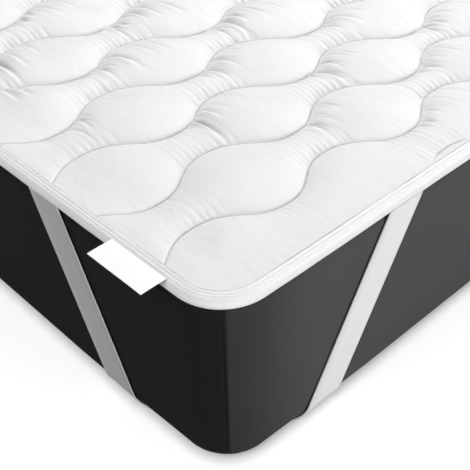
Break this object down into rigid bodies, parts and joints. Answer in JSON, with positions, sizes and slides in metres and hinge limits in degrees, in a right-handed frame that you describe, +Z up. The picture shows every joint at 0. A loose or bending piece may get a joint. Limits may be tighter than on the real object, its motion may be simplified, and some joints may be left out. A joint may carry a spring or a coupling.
{
  "type": "mattress topper on mattress",
  "caption": "Quilted white mattress topper with wavy sewn channels, bound edge and elastic corner bands, lying on a plain dark mattress with rounded corners.",
  "frame": {"origin": "on the floor, under the middle of the mattress", "axes": "+X along the bed, away from the end that carries the label; +Y across the bed; +Z up"},
  "size_m": [2.032, 0.908, 0.2182],
  "materials": {
    "mattress_cover": "dark charcoal knitted cover, slight sheen",
    "pad_cloth": "soft white brushed microfibre, quilted",
    "binding_tape": "white woven edge tape, sewn down along its inner edge",
    "elastic_band": "white ribbed elastic",
    "label_satin": "bare white satin ribbon"
  },
  "bodies": {
    "root": {"mattress": "mattress_cover", "quilted_pad": "pad_cloth", "edge_binding": "binding_tape", "corner_band_label_end_right": "elastic_band", "corner_band_label_end_left": "elastic_band", "corner_band_far_end_right": "elastic_band", "corner_band_far_end_left": "elastic_band", "label": "label_satin"}
  },
  "joints": []
}
